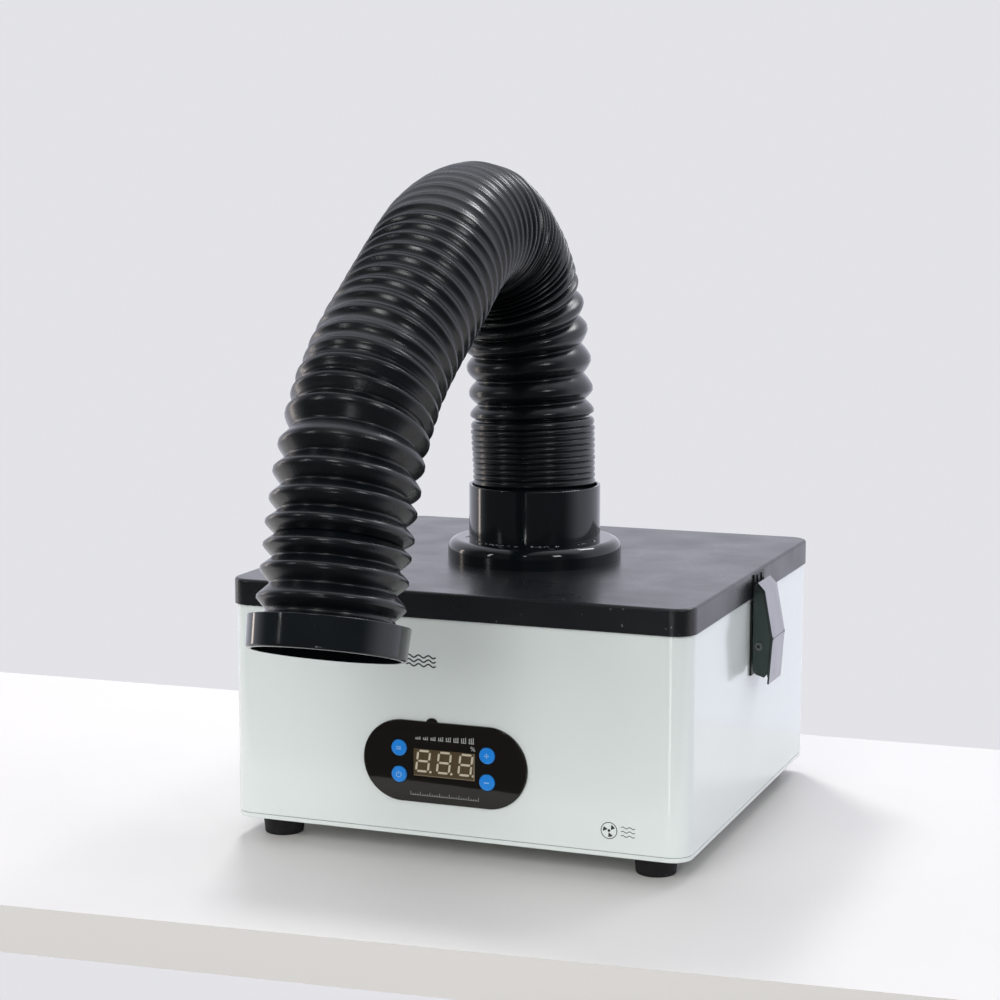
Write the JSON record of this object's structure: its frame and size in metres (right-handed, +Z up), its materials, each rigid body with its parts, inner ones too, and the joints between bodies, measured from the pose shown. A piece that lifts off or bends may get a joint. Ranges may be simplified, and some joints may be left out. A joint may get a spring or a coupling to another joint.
{
  "type": "solder fume extractor",
  "caption": "Bench-top fume extractor: white steel filter box with a black lift-off lid, latches, a front control panel and a bendable ribbed duct arm with a nozzle ring.",
  "frame": {"origin": "on the surface the feet stand on, below the axis of the duct's collar, which is the middle of the case's plan", "axes": "+Z up along the collar's axis, -Y out of the control panel's face, +X to the right seen from the front"},
  "size_m": [0.3066, 0.458, 0.3947],
  "materials": {
    "body_white": "gloss white powder coat with a cool green cast",
    "lid_black": "satin black powder coat",
    "pvc_black": "gloss black PVC",
    "hose_black": "semi-gloss black ribbed hose",
    "foot_rubber": "matt black",
    "latch_steel": "dark grey plated steel",
    "fascia_black": "gloss black printed film",
    "button_blue": "gloss blue",
    "display_face": "smoked display face with pale segments",
    "zinc_steel": "zinc plated",
    "prefilter_foam": "white fibre pad",
    "filter_paper": "pleated glass paper in a board frame",
    "carbon_media": "carbon-loaded foam",
    "blower_plastic": "moulded black",
    "rocker_black": "gloss black",
    "motor_metal": "cast and pressed",
    "board_green": "solder-masked board",
    "switch_black": "moulded",
    "gasket_foam": "closed-cell foam",
    "lead_jacket": "soft jacket"
  },
  "bodies": {
    "chassis": {"base_pan": "body_white", "base_screws": "zinc_steel", "foot_front_left": "foot_rubber", "foot_front_right": "foot_rubber", "foot_rear_left": "foot_rubber", "foot_rear_right": "foot_rubber", "foot_screws": "zinc_steel", "body_shell": "body_white", "filter_shelf": "zinc_steel", "carbon_filter": "carbon_media", "hepa_frame": "filter_paper", "hepa_pleats": "filter_paper", "prefilter": "prefilter_foam", "blower_scroll": "blower_plastic", "blower_cover": "blower_plastic", "blower_gasket": "gasket_foam", "blower_screws": "zinc_steel", "motor": "motor_metal", "power_supply": "motor_metal", "mains_lead": "lead_jacket", "control_lead": "lead_jacket", "control_fascia": "fascia_black", "display_module": "display_face", "control_board": "board_green", "key_switches": "switch_black", "exhaust_grille": "blower_plastic", "mains_inlet": "blower_plastic", "rocker_frame": "blower_plastic", "latch_base_left": "latch_steel", "latch_base_right": "latch_steel", "latch_pivots": "latch_steel", "latch_rivets": "latch_steel"},
    "lid": {"lid_pan": "lid_black", "lid_gasket": "gasket_foam", "inlet_flange": "pvc_black", "inlet_collar": "pvc_black", "flange_screws": "zinc_steel", "lid_catch_left": "latch_steel", "lid_catch_right": "latch_steel", "catch_rivets": "latch_steel"},
    "riser": {"hose_cuff": "pvc_black", "hose_riser": "hose_black", "hose_arch": "hose_black"},
    "drop": {"hose_drop": "hose_black", "hose_neck": "hose_black"},
    "nozzle": {"nozzle_cuff": "pvc_black", "nozzle_ring": "pvc_black"},
    "blower_wheel": {"impeller": "blower_plastic", "motor_shaft": "zinc_steel"},
    "rocker": {"power_rocker": "rocker_black"},
    "key_mode": {"button_mode": "button_blue"},
    "key_on_off": {"button_on_off": "button_blue"},
    "key_plus": {"button_plus": "button_blue"},
    "key_minus": {"button_minus": "button_blue"},
    "link_left": {"latch_link_left": "latch_steel"},
    "cover_left": {"latch_cover_left": "latch_steel", "latch_cover_pin_left": "latch_steel"},
    "link_right": {"latch_link_right": "latch_steel"},
    "cover_right": {"latch_cover_right": "latch_steel", "latch_cover_pin_right": "latch_steel"}
  },
  "joints": [
    {"name": "lid_lift", "type": "slide", "parent": "chassis", "child": "lid", "axis": [0, 0, 1], "range_m": [0, 0.12]},
    {"name": "hose_swivel", "type": "hinge", "parent": "lid", "child": "riser", "pos_m": [0, 0, 0.18], "axis": [0, 0, 1], "range_deg": [-120, 120]},
    {"name": "hose_bend", "type": "hinge", "parent": "riser", "child": "drop", "pos_m": [-0.0125, -0.0755, 0.3555], "axis": [-1, 0, 0], "range_deg": [-5, 35], "deforming": ["hose_arch"]},
    {"name": "nozzle_tilt", "type": "hinge", "parent": "drop", "child": "nozzle", "pos_m": [-0.0105, -0.2645, 0.1935], "axis": [-1, 0, 0], "range_deg": [-15, 25], "deforming": ["hose_neck"]},
    {"name": "wheel_spin", "type": "hinge", "parent": "chassis", "child": "blower_wheel", "pos_m": [0.01, 0.022, 0.05], "axis": [0, 0, 1], "continuous": true},
    {"name": "rocker_press", "type": "hinge", "parent": "chassis", "child": "rocker", "pos_m": [-0.05, 0.13465, 0.048], "axis": [1, 0, 0], "range_deg": [-20, 0]},
    {"name": "press_mode", "type": "slide", "parent": "chassis", "child": "key_mode", "axis": [0, 1, 0], "range_m": [0, 0.0007], "stiffness_N_per_m": 400, "springref_m": -0.0006},
    {"name": "press_on_off", "type": "slide", "parent": "chassis", "child": "key_on_off", "axis": [0, 1, 0], "range_m": [0, 0.0007], "stiffness_N_per_m": 400, "springref_m": -0.0006},
    {"name": "press_plus", "type": "slide", "parent": "chassis", "child": "key_plus", "axis": [0, 1, 0], "range_m": [0, 0.0007], "stiffness_N_per_m": 400, "springref_m": -0.0006},
    {"name": "press_minus", "type": "slide", "parent": "chassis", "child": "key_minus", "axis": [0, 1, 0], "range_m": [0, 0.0007], "stiffness_N_per_m": 400, "springref_m": -0.0006},
    {"name": "latch_swing_left", "type": "hinge", "parent": "chassis", "child": "link_left", "pos_m": [-0.1464, 0.0045, 0.1185], "axis": [0, 1, 0], "range_deg": [0, 120]},
    {"name": "cover_turn_left", "type": "hinge", "parent": "link_left", "child": "cover_left", "pos_m": [-0.1449, 0.0045, 0.1105], "axis": [0, 1, 0], "range_deg": [-140, 0]},
    {"name": "latch_swing_right", "type": "hinge", "parent": "chassis", "child": "link_right", "pos_m": [0.1464, 0.0045, 0.1185], "axis": [0, -1, 0], "range_deg": [0, 120]},
    {"name": "cover_turn_right", "type": "hinge", "parent": "link_right", "child": "cover_right", "pos_m": [0.1449, 0.0045, 0.1105], "axis": [0, -1, 0], "range_deg": [-140, 0]}
  ],
  "couplings": [
    {"joint": "cover_turn_left", "follows": "latch_swing_left", "ratio": -1.16},
    {"joint": "cover_turn_right", "follows": "latch_swing_right", "ratio": -1.16}
  ]
}
